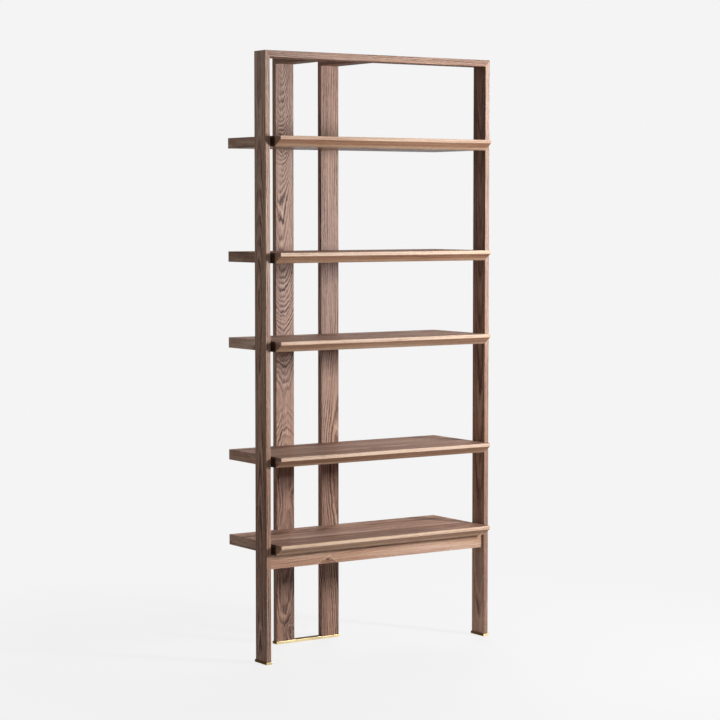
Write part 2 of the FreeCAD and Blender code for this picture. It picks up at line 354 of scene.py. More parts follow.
@dataclass(frozen=True)
class Knot:
    """A small knot: its place along and across the board's face, its size, and its mark on rings and tone."""

    along: float
    across: float
    length: float
    width: float
    bend: float
    core: float
    stir: float
    halo: float
    shade: float
    form: KnotForm = KnotForm.ROUND

    hill_narrowness = 0.75
    hill_height = 1.10
    hill_foot = 0.75
    hill_edge = Layer((15.0, 8.0, 8.0), 1.0, 0.9)
    hill_slope = (0.5, -0.5)
    core_edges = (0.945, 0.985)
    shade_edges = (0.54, 0.74)
    halo_edges = (0.26, 0.42, 0.52, 0.66)

    def marks(self, place: Value) -> tuple[Value, Value, Value]:
        """Draws the knot.

        Args:
            place: the place on the board.

        Returns:
            How far the rings bend, how much darker the wood is, and how much stronger the rings show.
        """
        along, across, _ = place.parts()
        run = (along - self.along) / self.length
        rise = (across - self.across) / self.width
        eye = run.bell() * rise.bell()
        swell = eye
        if self.form is KnotForm.HILL:
            hill = run.bell(self.hill_narrowness) * self.hill_height - self.hill_foot
            swell = (rise - hill - place.waver(self.hill_edge)).step(*self.hill_slope)
        heart = eye.step(*self.core_edges) * self.core + swell.step(*self.shade_edges) * self.shade
        darker = heart - swell.hump(*self.halo_edges) * self.halo
        return swell * self.bend, darker, swell * self.stir


class WalnutRings(NodeSketch):
    """Shader group shared by all walnut: rings, bands, streaks, fibres and pores, in millimetres."""

    seed_step = 977.0
    swerve_drop = 300.0
    swerve_run = 450.0
    back_share = 0.35
    side_share = 0.25
    fold_round = 45.0
    fold_calm = 60.0
    calm_weights = (1.0, 0.25)
    ring_weights = (0.25, 1.0)
    patch_edges = (0.35, 0.65)
    patch_weights = (0.3, 1.0)
    late_edges = (0.38, 0.80, 0.86, 1.0)
    early_edges = (0.0, 0.10, 0.14, 0.42)
    early_share = 0.4
    heart_edges = (-80.0, 120.0)
    hue_edges = (0.36, 0.64)
    pore_edges = (0.58, 0.70)
    pore_shade = 0.10
    dash_reaches = (0.15, 0.50)
    long_sway = Layer((600.0, 1.0, 1.0), 0.0, 2.0)
    short_sway = Layer((110.0, 1.0, 1.0), 1.0, 0.16)
    ripple = Layer((62.0, 17.0, 17.0), 3.0, 4.0)
    jag = Layer((15.0, 1.2, 1.2), 1.0, 0.6)
    patch = Layer((240.0, 30.0, 30.0), 1.0)
    hue = Layer((900.0, 60.0, 60.0), 2.0, 0.5)
    band = Layer((760.0, 26.0, 26.0), 2.0, 0.55)
    streak = Layer((190.0, 4.2, 4.2), 3.0, 0.54)
    dash = Layer((26.0, 3.4, 3.4), 1.0)
    fibre = Layer((32.0, 0.8, 0.8), 2.0, 0.16)
    pore = Layer((7.0, 0.34, 0.34), 0.0)

    def __init__(self) -> None:
        """Builds the group."""
        super().__init__(bpy.data.node_groups.new("walnut_rings", "ShaderNodeTree"))
        self.declare("INPUT", "Vector", "Place")
        self.declare("INPUT", "Float", *titles(Figure), "Bend")
        self.declare("OUTPUT", "Float", "Tone", "Hue", "Pores", "Fibre", "Late")
        self.draw()

    def draw(self) -> None:
        """Draws the rings about the pith, then what lies along the fibres."""
        given = self.results("NodeGroupInput")
        along, across, depth = given["Place"].parts()
        run = given["Seed"] * self.seed_step + along
        place = self.join(run, across, depth)
        above = along - given["Turn"]
        under = -(above + given["Turn Back"])
        fold = above.hypot(self.fold_round)
        back = (under + under.hypot(self.fold_round)) * ((1.0 + self.back_share) / -2.0)
        trunk = self.join(run, given["Seed"], 0.0)
        sway = (trunk.waver(self.long_sway) + trunk.waver(self.short_sway)) * given["Wander"]
        radial = given["Lean"] * (fold + back + given["Turn"]) + given["Pith Depth"] + sway + depth
        swerve = ((above + self.swerve_drop) / self.swerve_run).bell() * given["Swerve"]
        sideways = across - swerve - given["Pith Side"] + sway * self.side_share
        uneven = place.waver(self.ripple) * given["Wave"] + place.waver(self.jag) * given["Ring"]
        count = (radial.hypot(sideways) + uneven + given["Bend"]) / given["Ring"]
        share = count.math("FRACT")
        strength = (count.math("FLOOR").chance().between(*self.ring_weights)
                    * place.noise(self.patch).step(*self.patch_edges).between(*self.patch_weights)
                    * (above / self.fold_calm).bell().between(*self.calm_weights))
        late = share.hump(*self.late_edges) * strength
        early = share.hump(*self.early_edges) * strength
        rings = (late - early * self.early_share) * given["Contrast"]
        paling = (fold + given["Turn"]) / MILLIMETRES * given["Fade"]
        # the board grows darker towards its lower end, below the turn back
        ground = paling + given["Tone"] - under.step(*self.heart_edges) * given["Heart"]

        dash = place.noise(self.dash).swing(given["Contrast"].between(*self.dash_reaches))
        tint = place.noise(self.hue).step(*self.hue_edges).swing(self.hue.reach)
        fibre = place.noise(self.fibre)
        pores = place.noise(self.pore).step(*self.pore_edges)
        shade = fibre.swing(self.fibre.reach) - pores * self.pore_shade
        self.node("NodeGroupOutput", {
            "Tone": ground + place.waver(self.band) + place.waver(self.streak) + dash + shade - rings,
            "Hue": tint.math("ADD", given["Warmth"], clamp=True),
            "Pores": pores,
            "Fibre": fibre,
            "Late": late,
        })


@dataclass(frozen=True)
class WalnutFinish:
    """Satin walnut on one board."""

    name: str
    grain: Grain
    centre: Vector
    figure: Figure
    knot: Knot | None = None

    rosy = (
        (0.062, 0.031, 0.023), (0.165, 0.089, 0.065), (0.318, 0.188, 0.140),
        (0.466, 0.304, 0.234), (0.665, 0.490, 0.392),
    )
    golden = (
        (0.066, 0.030, 0.017), (0.182, 0.087, 0.051), (0.345, 0.170, 0.101),
        (0.500, 0.308, 0.196), (0.690, 0.500, 0.360),
    )
    gloss = 0.36
    rough_low = 0.50
    rough_spread = 0.20
    fibre_relief = 0.4
    pore_relief = 0.00006
    relief_strength = 0.5

    def material(self, rings: WalnutRings) -> Material:
        """Makes the finish's material.

        Args:
            rings: the shared group that draws the wood.

        Returns:
            The material.
        """
        sketch = MaterialSketch(self.name)
        spot = sketch.spot()
        place = self.board_place(spot)
        bend, darker, stir = self.knot.marks(place) if self.knot else (0.0, 0.0, 0.0)
        settings = {**self.settings(spot, place), "Place": place, "Bend": bend,
                    "Contrast": stir + self.figure.contrast}
        wood = sketch.results("ShaderNodeGroup", settings, node_tree=rings.tree)
        paler, warmer, rougher = self.face_marks(spot)
        tone = wood["Tone"] - darker + paler
        bump = sketch.value("ShaderNodeBump", {
            "Strength": self.relief_strength,
            "Distance": self.pore_relief,
            "Height": wood["Fibre"] * self.fibre_relief + wood["Pores"],
        }, invert=True)
        openness = wood["Pores"].math("MAXIMUM", wood["Late"])
        return sketch.surface({
            "Base Color": sketch.mix(wood["Hue"] + warmer, tone.ramp(*self.rosy), tone.ramp(*self.golden)),
            "Roughness": openness * self.rough_spread + self.rough_low + rougher,
            "Normal": bump,
            "Specular IOR Level": self.gloss,
        })

    def board_place(self, spot: Value) -> Value:
        """Gives the place along, across and through the board.

        Args:
            spot: the place on the object.

        Returns:
            The place on the board, in millimetres from its centre.
        """
        moved = {"Vector": spot, "Location": -MILLIMETRES * self.centre, "Scale": (MILLIMETRES,) * 3}
        axes = spot.sketch.value("ShaderNodeMapping", moved).parts()
        return spot.sketch.join(*(axes[axis] for axis in self.grain.value))

    def settings(self, spot: Value, place: Value) -> Inputs:
        """Gives the rings' settings: the figure's own, on a plain board."""
        return {title: getattr(self.figure, name) for title, name in titles(Figure).items()}

    def face_marks(self, spot: Value) -> tuple[Feed, Feed, Feed]:
        """Gives what single faces add to tone, warmth and roughness: nothing, on a plain board."""
        return 0.0, 0.0, 0.0


@dataclass(frozen=True)
class UprightFinish(WalnutFinish):
    """Satin walnut on the right upright, whose inner face is painted paler downwards, as painted light and
    shade.
    """

    node: str = "front_upright_right"
    inner_lift: float = -0.02
    inner_fade: float = -0.30

    def face_marks(self, spot: Value) -> tuple[Feed, Feed, Feed]:
        """Gives the painted light and shade on the inner face: how much paler than the front it is, for its
        height.

        Args:
            spot: the place on the object.

        Returns:
            What is added to tone, warmth and roughness.
        """
        side, _, height = spot.parts()
        inner = side.skin(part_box(self.node)[0].x)
        # painted light and shade: the inner face is painted paler low down and darker high up
        return inner * ((height - self.centre.z) * self.inner_fade + self.inner_lift), 0.0, 0.0


@dataclass(frozen=True)
class ShelfFinish(WalnutFinish):
    """Satin walnut on a shelf: staves side by side, a paler front, and painted shade on its ends in the gaps.
    """

    staves: Staves = Staves((), (0.5,), 0.5, 0.5)
    panel: str = "shelf_panel_1"
    facing: str = "front_upright_left"
    foot_lift: float = 0.20
    foot_edges: Pair = (0.012, 0.007)
    bevel_warmth: float = 0.85
    bevel_depth: float = 0.0395
    bevel_height: float = 0.027
    bevel_rim: float = 0.001
    # painted shade: the near-black tone an end is painted where it faces an upright, and how far along its
    # depth that runs
    gap_tone: float = 0.02
    stain_edges: tuple[float, ...] = (-0.019, -0.009, -0.004, 0.004)
    top_matt: float = 0.09
    under_gloss: float = 0.24
    wear_skin: float = 0.0012
    end_skin: float = 0.0005
    band_drop: float = 30.0
    stave_step: float = 13.0
    draw_step: float = 3.0
    draws: Pair = (0.3, 1.3)
    pith_depths: Pair = (24.0, 94.0)

    def board_place(self, spot: Value) -> Value:
        """Gives the place on the shelf, with the grain turned to run along the bands on its ends.

        Args:
            spot: the place on the object.

        Returns:
            The place along, across and through the wood, in millimetres.
        """
        place = super().board_place(spot)
        along, across, depth = place.parts()
        band = spot.sketch.join(across, depth - self.band_drop, along)
        return spot.sketch.mix(self.at_end(spot), place, band, Blend.VECTOR)

    def at_end(self, spot: Value) -> Value:
        """Gives 1 on the shelf's two ends and 0 elsewhere."""
        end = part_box(self.panel)[1].x - self.end_skin
        return spot.parts()[0].math("ABSOLUTE").math("GREATER_THAN", end)

    def settings(self, spot: Value, place: Value) -> Inputs:
        """Gives the rings' settings, where each stave has its own seed, pith and tone.

        Args:
            spot: the place on the object.
            place: the place on the shelf.

        Returns:
            What goes into each of the settings.
        """
        staves = self.staves
        low, high = shelf_span()
        depth = MILLIMETRES * (high - low)
        edges = (0.0, *staves.seams, depth)
        across = place.parts()[1]
        gates = [across.math("GREATER_THAN", seam - depth / 2) for seam in staves.seams]

        def pick(values: Sequence[float]) -> Value:
            """Gives the value of the stave at hand, from the staves' values in order."""
            rises = [gate * (after - before) for gate, before, after in zip(gates, values, values[1:])]
            return sum(rises, values[0])

        middle = pick([(before + after - depth) / 2 for before, after in zip(edges, edges[1:])])
        width = pick([after - before for before, after in zip(edges, edges[1:])])
        tone = pick(staves.tones)
        number = sum(gates) + self.figure.seed * self.stave_step
        first, second = ((number * self.draw_step + draw).chance() for draw in self.draws)
        return {
            **super().settings(spot, place),
            "Seed": number + first,
            "Pith Depth": second.between(*self.pith_depths),
            "Pith Side": middle + first.swing(width),
            "Tone": self.at_end(spot) * (staves.end_tone - tone) + tone,
        }

    def face_marks(self, spot: Value) -> tuple[Feed, Feed, Feed]:
        """Gives what sets the shelf's faces apart.

        The nosing and a line along the bevel's foot are paler, and the bevel between them warmer. Where an
        end faces an upright it is painted near black, painted shade for the gap; the top is worn, and the
        underside is smoother.

        Args:
            spot: the place on the object.

        Returns:
            What is added to tone, warmth and roughness.
        """
        _, depth, height = spot.parts()
        staves = self.staves
        low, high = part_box(self.panel)
        front = shelf_span()[0]
        nosing_under = low.z + self.bevel_height
        nosing = depth.skin(front)
        on_bevel = depth.math("LESS_THAN", front + self.bevel_depth)
        bevel = height.step(nosing_under, nosing_under - self.bevel_rim) * on_bevel
        foot = height.step(*(low.z + edge for edge in self.foot_edges)) * on_bevel
        # painted shade: inside the gap to an upright each end is painted near black, standing in for the
        # shade there
        near, far = (corner.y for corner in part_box(self.facing))
        limits = (face + edge for face, edge in zip((near, near, far, far), self.stain_edges))
        gap_shade = depth.hump(*limits) * self.at_end(spot) * (self.gap_tone - staves.end_tone)
        paler = bevel * staves.bevel_lift + foot * self.foot_lift + nosing * staves.nosing_lift + gap_shade
        warmer = bevel * self.bevel_warmth + nosing * staves.nosing_warmth
        worn = height.skin(high.z, -self.wear_skin) * self.top_matt
        return paler, warmer, worn - height.skin(low.z, self.wear_skin) * self.under_gloss


def shelf_span() -> Pair:
    """Gives the front and back of the shelves."""
    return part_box("shelf_edge_1")[0].y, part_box("shelf_panel_1")[1].y


def middle_of(node: str) -> Vector:
    """Gives the middle of a node's box."""
    low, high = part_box(node)
    return (low + high) / 2


@dataclass(frozen=True)
class MetalFinish:
    """Brushed or turned metal, uneven in colour and gloss.

    If it has a front, every face behind it is painted dark and rougher: a painted reflection of the shade
    around it.
    """

    name: str
    dark: Colour
    light: Colour
    rough: Pair
    brush: Layer
    front: float | None = None
    # painted reflection: the dark brass painted on every face but the front, and how much rougher it is
    toned: Colour = (0.27, 0.15, 0.045)
    toned_matt: float = 0.30
    toned_skin: float = 0.0012
    cloud: Layer = Layer((0.03, 0.03, 0.03), 2.0)
    brush_share: float = 0.6
    wear_edges: Pair = (0.3, 0.7)
    relief: float = 0.000004
    relief_strength: float = 0.3

    def material(self) -> Material:
        """Makes the finish's material.

        Returns:
            The material.
        """
        sketch = MaterialSketch(self.name)
        spot = sketch.spot()
        brush = spot.noise(self.brush)
        cloud = spot.noise(self.cloud)
        wear = brush * self.brush_share + cloud * (1.0 - self.brush_share)
        colour = wear.step(*self.wear_edges).ramp(self.dark, self.light)
        roughness = cloud.between(*self.rough)
        if self.front is not None:
            # painted reflection: every face but the front is painted dark, standing in for the shade it would
            # mirror
            behind = 1.0 - spot.parts()[1].skin(self.front, self.toned_skin)
            colour = sketch.mix(behind, colour, (*self.toned, 1.0))
            roughness = roughness + behind * self.toned_matt
        relief = {"Strength": self.relief_strength, "Distance": self.relief, "Height": brush}
        bump = sketch.value("ShaderNodeBump", relief)
        return sketch.surface({"Base Color": colour, "Metallic": 1.0, "Roughness": roughness, "Normal": bump})


@dataclass(frozen=True)
class BeechFinish:
    """Pale beech with short flecks, for tenons and dowels."""

    name: str = "beech"
    fleck: Layer = Layer((0.0006, 0.0006, 0.004), 2.0)
    fleck_edges: Pair = (0.28, 0.55)
    dark: Colour = (0.36, 0.20, 0.105)
    light: Colour = (0.62, 0.42, 0.25)
    rough: Pair = (0.50, 0.65)

    def material(self) -> Material:
        """Makes the finish's material.

        Returns:
            The material.
        """
        sketch = MaterialSketch(self.name)
        fleck = sketch.spot().noise(self.fleck)
        colour = fleck.step(*self.fleck_edges).ramp(self.dark, self.light)
        return sketch.surface({"Base Color": colour, "Roughness": fleck.between(*self.rough)})


BRASS = MetalFinish("brushed_brass", (0.92, 0.75, 0.40), (0.99, 0.85, 0.50), (0.34, 0.40),
                    Layer((0.05, 0.05, 0.0006), 3.0))
BRONZE = MetalFinish("dark_bronze", (0.075, 0.048, 0.030), (0.150, 0.100, 0.062), (0.34, 0.54),
                     Layer((0.002, 0.002, 0.002), 3.0))
STEEL = MetalFinish("bright_steel", (0.40, 0.40, 0.41), (0.62, 0.62, 0.63), (0.26, 0.42),
                    Layer((0.001, 0.001, 0.001), 3.0))


def dress(node: str, material: Material) -> None:
    """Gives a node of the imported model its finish.

    Args:
        node: the node's name.
        material: the finish.
    """
    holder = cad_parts[node].data.materials
    holder.clear()
    holder.append(material)
    log.info("dressed %s in %s", node, material.name)


@dataclass(frozen=True)
class Board:
    """One board: its node, the lie of its grain, its figure, its knot if any, and its kind of finish."""

    node: str
    grain: Grain
    figure: Figure
    knot: Knot | None = None
    kind: type[WalnutFinish] = WalnutFinish

    def dress(self, rings: WalnutRings) -> None:
        """Dresses the board."""
        finish = self.kind("walnut_" + self.node, self.grain, middle_of(self.node), self.figure, self.knot)
        dress(self.node, finish.material(rings))


@dataclass
class BoardSet:
    """Boards that belong together, each from its own plank."""

    rings: WalnutRings
    boards: tuple[Board, ...] = ()

    def dress(self) -> None:
        """Dresses the boards."""
        for board in self.boards:
            board.dress(self.rings)


@dataclass
class FrontPortal(BoardSet):
    """The two front uprights, the rail over them and the apron under the lowest shelf."""

    boards: tuple[Board, ...] = (
        Board("front_upright_left", Grain.STANDING_SIDEWAYS, Figure(
            seed=3.1, pith_depth=60.0, pith_side=6.0, lean=0.02, wander=24.0, ring=6.0, contrast=0.62,
            tone=0.60, fade=0.11)),
        Board("front_upright_right", Grain.STANDING_SIDEWAYS, kind=UprightFinish, figure=Figure(
            seed=7.9, pith_depth=85.0, pith_side=-9.0, lean=-0.025, wander=14.0, ring=5.0, contrast=0.48,
            tone=0.57, fade=0.22, warmth=0.4)),
        Board("front_top_rail", Grain.CROSSING_FLAT, Figure(
            seed=11.7, pith_depth=90.0, lean=0.02, wander=12.0, ring=6.0, contrast=0.45, tone=0.57,
            fade=0.03)),
        Board("front_apron", Grain.CROSSING_FACING, Figure(
            seed=15.2, pith_depth=130.0, pith_side=40.0, lean=0.02, wander=10.0, ring=3.2, contrast=0.25,
            tone=0.71, warmth=0.6), Knot(
            along=-238.0, across=-11.0, length=33.0, width=27.0, bend=9.0, core=0.40, stir=0.40, halo=0.17,
            shade=0.14, form=KnotForm.HILL)),
    )


@dataclass
class BackLadder(BoardSet):
    """The two back posts and the rails that tie their tops to the front."""

    boards: tuple[Board, ...] = (
        Board("back_post_left", Grain.STANDING_FACING, Figure(
            seed=21.3, pith_depth=170.0, pith_side=-14.0, lean=-0.10, turn=-200.0, turn_back=255.0,
            swerve=26.0, wander=30.0, ring=2.6, wave=1.1, contrast=0.76, tone=0.565, fade=-0.07, heart=0.11,
            warmth=0.1), Knot(
            along=-1106.0, across=19.0, length=24.0, width=13.0, bend=6.0, core=0.16, stir=0.0, halo=0.10,
            shade=0.08)),
        Board("back_post_right", Grain.STANDING_FACING, Figure(
            seed=26.8, pith_depth=60.0, pith_side=85.0, lean=-0.02, turn=-150.0, turn_back=255.0,
            swerve=-58.0, wander=16.0, ring=7.5, wave=1.6, contrast=0.58, tone=0.505, fade=-0.06, heart=0.03,
            warmth=0.25)),
        Board("back_rail_left", Grain.RUNNING_BACK, Figure(seed=31.5, pith_depth=60.0, wander=8.0)),
        Board("back_rail_right", Grain.RUNNING_BACK, Figure(seed=36.1, pith_depth=48.0, wander=8.0)),
    )


@dataclass
class ShelfStack:
    """The five shelves: glued-up panels with a solid, bevelled front edge of the same plank."""

    rings: WalnutRings
    figures: tuple[Figure, ...] = (
        Figure(seed=41.0, wander=16.0, ring=6.0, contrast=0.44),
        Figure(seed=46.0, wander=14.0, ring=5.0, contrast=0.44, warmth=0.15),
        Figure(seed=51.0, wander=18.0, ring=5.5, contrast=0.44, warmth=0.15),
        Figure(seed=56.0, wander=15.0, ring=6.0),
        Figure(seed=61.0, wander=16.0, ring=5.0),
    )
    staves: tuple[Staves, ...] = (
        Staves((138.0, 180.0, 262.0, 330.0), (0.48, 0.70, 0.57, 0.49, 0.62), end_tone=0.56, nosing_lift=0.46,
               nosing_warmth=0.60, bevel_lift=0.15),
        Staves((104.0, 138.0, 230.0, 310.0), (0.49, 0.65, 0.52, 0.56, 0.48), end_tone=0.62, nosing_lift=0.52,
               nosing_warmth=0.60),
        Staves((122.0, 209.0, 296.0), (0.59, 0.64, 0.57, 0.62), end_tone=0.84, nosing_lift=0.38,
               nosing_warmth=0.50, bevel_lift=0.03),
        Staves((112.0, 200.0, 300.0), (0.48, 0.46, 0.54, 0.50), end_tone=0.62, nosing_lift=0.50,
               bevel_lift=0.08),
        Staves((126.0, 214.0, 290.0), (0.51, 0.54, 0.48, 0.53), end_tone=0.63, nosing_lift=0.26,
               bevel_lift=0.06),
    )

    def dress(self) -> None:
        """Dresses each shelf's panel and edge alike, so that no seam shows."""
        low, high = shelf_span()
        for number, (figure, staves) in enumerate(zip(self.figures, self.staves), start=1):
            panel = f"shelf_panel_{number}"
            centre = middle_of(panel)
            centre.y = (low + high) / 2
            finish = ShelfFinish(f"walnut_shelf_{number}", Grain.CROSSING_FLAT, centre, figure, staves=staves,
                                 panel=panel)
            material = finish.material(self.rings)
            dress(panel, material)
            dress(f"shelf_edge_{number}", material)


@dataclass
class BrassFeet:
    """The brass plates under the uprights and the bar under the posts."""

    nodes: tuple[str, ...] = ("front_foot_left", "front_foot_right", "back_foot_bar")

    def dress(self) -> None:
        """Dresses the feet, each bright along its own front, with a painted dark reflection on its other
        faces.
        """
        for node in self.nodes:
            finish = replace(BRASS, name="brass_" + node, front=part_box(node)[0].y)
            dress(node, finish.material())


@dataclass
class InnerJoinery:
    """Tenons, dowels and the steel fittings that lie inside the boards."""

    steel: Material
    wooden: tuple[str, ...] = (
        "front_corner_tenons", "back_corner_tenons", "back_rail_tenons", "apron_dowels")
    metal: tuple[str, ...] = ("shelf_end_bolts", "shelf_inserts")

    def dress(self) -> None:
        """Dresses the inner pieces."""
        beech = BeechFinish().material()
        for node in self.wooden:
            dress(node, beech)
        for node in self.metal:
            dress(node, self.steel)


class Recess(Enum):
    """Drive or hole in a fitting's face, with the number of its sides where it is bored."""

    HEXAGON = 6
    ROUND = 32
    CROSS = 0


@dataclass(frozen=True)
class FittingShape:
    """Sizes of one kind of turned fitting, from its face inwards."""

    radius: float
    height: float
    base_radius: float
    ease: float
    recess: Recess
    recess_radius: float
    recess_depth: float
    shank_radius: float = 0.0
    shank_length: float = 0.0
    slot_width: float = 0.0012


class FittingTree(NodeSketch):
    """Geometry Nodes tree that turns one fitting and sets a copy of it on every point."""

    head_sides = 40
    shank_sides = 24
    axis_name = "axis"

    def __init__(self, name: str, shape: FittingShape) -> None:
        """Builds the tree.

        Args:
            name: the tree's name.
            shape: the fitting, for the kind of its recess and whether it has a shank.
        """
        super().__init__(bpy.data.node_groups.new(name, "GeometryNodeTree"))
        self.shape = shape
        self.declare("INPUT", "Geometry", "Geometry")
        sizes = titles(FittingShape)
        self.size_sockets = dict(zip(sizes.values(), self.declare("INPUT", "Float", *sizes)))
        self.finish_socket = self.declare("INPUT", "Material", "Finish")[0]
        self.declare("OUTPUT", "Geometry", "Geometry")
        self.given = self.results("NodeGroupInput")
        self.draw()

    def draw(self) -> None:
        """Draws one fitting, then its copies."""
        shape = self.sunk(self.head())
        if self.shape.shank_length > 0:
            shape = self.value("GeometryNodeJoinGeometry", {"Geometry": [self.stem(), shape]})
        axis = self.value("GeometryNodeInputNamedAttribute", {"Name": self.axis_name}, out="Attribute",
                          data_type="FLOAT_VECTOR")
        turn = self.value("FunctionNodeAlignRotationToVector", {"Vector": axis}, axis="Z")
        spread = {"Points": self.given["Geometry"], "Instance": shape, "Rotation": turn}
        copies = self.value("GeometryNodeInstanceOnPoints", spread)
        real = self.value("GeometryNodeRealizeInstances", {"Geometry": copies})
        finish = {"Geometry": real, "Material": self.given["Finish"]}
        self.node("NodeGroupOutput", {"Geometry": self.value("GeometryNodeSetMaterial", finish)})

    def rod(self, sides: int, radius: Feed, depth: Feed, bands: int = 1) -> Value:
        """Makes a closed rod about the middle, with its side in one or more bands."""
        sizes = {"Vertices": sides, "Side Segments": bands, "Radius": radius, "Depth": depth}
        return self.value("GeometryNodeMeshCylinder", sizes, fill_type="NGON")

    def head(self) -> Value:
        """Turns the head from a blank with points at heights 1, 0 and -1: its face, eased rim and base.

        Returns:
            The head, before its recess is cut.
        """
        given = self.given
        x, y, z = self.value("GeometryNodeInputPosition").parts()
        at_face = z.math("GREATER_THAN", 0.5)
        at_base = z.math("LESS_THAN", -0.5)
        at_rim = 1.0 - at_face - at_base
        face_radius = given["Radius"] - given["Ease"]
        spread = at_face * face_radius + at_rim * given["Radius"] + at_base * given["Base Radius"]
        sunk = at_rim * given["Ease"] + at_base * given["Height"]
        blank = self.rod(self.head_sides, radius=1.0, depth=2.0, bands=2)
        place = self.join(x * spread, y * spread, -sunk)
        return self.value("GeometryNodeSetPosition", {"Geometry": blank, "Position": place})

    def sunk(self, body: Value) -> Value:
        """Cuts the recess into the head.

        Args:
            body: the head.

        Returns:
            The head with its recess.
        """
        depth = self.given["Recess Depth"] * 2.0
        if self.shape.recess is Recess.CROSS:
            length = self.given["Recess Radius"] * 2.0
            width = self.given["Slot Width"]
            bars = [self.join(*size, depth) for size in ((length, width), (width, length))]
            cutters = [self.value("GeometryNodeMeshCube", {"Size": bar}) for bar in bars]
        else:
            cutters = [self.rod(self.shape.recess.value, self.given["Recess Radius"], depth)]
        for cutter in cutters:
            pair = {"Mesh 1": body, "Mesh 2": cutter}
            body = self.value("GeometryNodeMeshBoolean", pair, operation="DIFFERENCE")
        return body

    def stem(self) -> Value:
        """Makes the shank under the head.

        Returns:
            The shank.
        """
        length = self.given["Shank Length"]
        rod = self.rod(self.shank_sides, self.given["Shank Radius"], length)
        drop = self.join(0.0, 0.0, -(length * 0.5 + self.given["Height"]))
        return self.value("GeometryNodeTransform", {"Geometry": rod, "Translation": drop})


@dataclass
class FittingSet:
    """All fittings of one kind: their places, the ways their faces look, and the node that they stand for."""

    node: str
    shape: FittingShape
    slot: str
    material: Material
    places: Places
    smooth_angle: float = math.radians(35.0)

    def build(self) -> None:
        """Makes the fittings as one piece on the root body."""
        carrier = self.carrier()
        tree = FittingTree(self.node + "_tree", self.shape)
        modifier = carrier.modifiers.new("fittings", "NODES")
        modifier.node_group = tree.tree
        for name, socket in tree.size_sockets.items():
            modifier[socket] = getattr(self.shape, name)
        modifier[tree.finish_socket] = self.material
        graph = bpy.context.evaluated_depsgraph_get()
        mesh = bpy.data.meshes.new_from_object(carrier.evaluated_get(graph))
        points = carrier.data
        bpy.data.objects.remove(carrier)
        bpy.data.meshes.remove(points)
        mesh.name = self.node + "_turned"
        mesh.shade_smooth()
        mesh.set_sharp_from_angle(angle=self.smooth_angle)
        piece = add_object(self.node + "_turned", mesh)
        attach(piece, "root")
        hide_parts(self.node)
        log.info("made %s: %d copies", piece.name, len(self.places))

    def carrier(self) -> Object:
        """Makes the points that carry the copies, each with the way its face looks.

        Returns:
            An object with the points.
        """
        mesh = bpy.data.meshes.new(self.node + "_points")
        mesh.from_pydata([place for place, _ in self.places], [], [])
        axes = mesh.attributes.new(FittingTree.axis_name, "FLOAT_VECTOR", "POINT")
        for entry, (_, axis) in zip(axes.data, self.places):
            entry.vector = axis
        return add_object(self.node + "_points", mesh)


@dataclass
class VisibleFittings:
    """Post bolts, end bushes, cams and foot screws, placed from the boards that hold them."""

    bronze: Material
    brass: Material
    steel: Material
    post_bolt: FittingShape = FittingShape(
        radius=0.0085, height=0.0025, base_radius=0.0085, ease=0.0004, recess=Recess.HEXAGON,
        recess_radius=0.0023, recess_depth=0.0018, shank_radius=0.003, shank_length=0.0416)
    bush: FittingShape = FittingShape(
        radius=0.009, height=0.012, base_radius=0.0084, ease=0.0006, recess=Recess.ROUND,
        recess_radius=0.0037, recess_depth=0.013)
    cam: FittingShape = FittingShape(
        radius=0.0075, height=0.012, base_radius=0.0075, ease=0.0004, recess=Recess.CROSS,
        recess_radius=0.0042, recess_depth=0.0025, slot_width=0.002)
    foot_screw: FittingShape = FittingShape(
        radius=0.0046, height=0.0034, base_radius=0.0022, ease=0.0002, recess=Recess.CROSS,
        recess_radius=0.0026, recess_depth=0.0016, shank_radius=0.0022, shank_length=0.0412)
    screw_spacing: float = 0.044
    screw_recess: float = 0.0004
    cam_distance: float = 0.034

    def build(self) -> None:
        """Makes the four kinds of fitting."""
        FittingSet("post_bolts", self.post_bolt, "bronze", self.bronze, self.post_bolt_places()).build()
        FittingSet("shelf_end_bushes", self.bush, "bronze", self.bronze, self.bush_places()).build()
        FittingSet("shelf_end_cams", self.cam, "steel", self.steel, self.cam_places()).build()
        FittingSet("foot_screws", self.foot_screw, "brass", self.brass, self.foot_screw_places()).build()

    def at_shelves(self, columns: list[tuple[float, float, Point]], level: float = 0.5) -> Places:
        """Gives each column's places at one level of all shelves, from 0 below to 1 on top."""
        boxes = [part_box(f"shelf_panel_{number}") for number in range(1, SHELF_COUNT + 1)]
        return [((x, y, low.lerp(high, level).z), axis) for x, y, axis in columns for low, high in boxes]

    def post_bolt_places(self) -> Places:
        """Gives the bolts' heads, flush with the posts' backs."""
        return self.at_shelves([(middle_of(post).x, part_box(post)[1].y, BACK) for post in POSTS])

    def bush_places(self) -> Places:
        """Gives the bushes' faces against the uprights."""
        x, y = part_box("front_upright_right")[0].x, middle_of("shelf_end_bushes").y
        return self.at_shelves([(side * x, y, (side, 0.0, 0.0)) for side in SIDES])

    def cam_places(self) -> Places:
        """Gives the cams' faces, flush with the shelves' undersides."""
        x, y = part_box("shelf_panel_1")[1].x - self.cam_distance, middle_of("shelf_end_bushes").y
        return self.at_shelves([(side * x, y, DOWN) for side in SIDES], level=0.0)

    def foot_screw_places(self) -> Places:
        """Gives the screws' heads in the feet's undersides, two in line with each board's width.

        Returns:
            The heads' places and the way they look.
        """
        places = []
        for node in ("front_foot_left", "front_foot_right", *POSTS):
            x, y, _ = middle_of(node)
            for side in SIDES:
                shift = side * self.screw_spacing / 2
                over = (x + shift, y) if node in POSTS else (x, y + shift)
                places.append(((*over, self.screw_recess), DOWN))
        return places


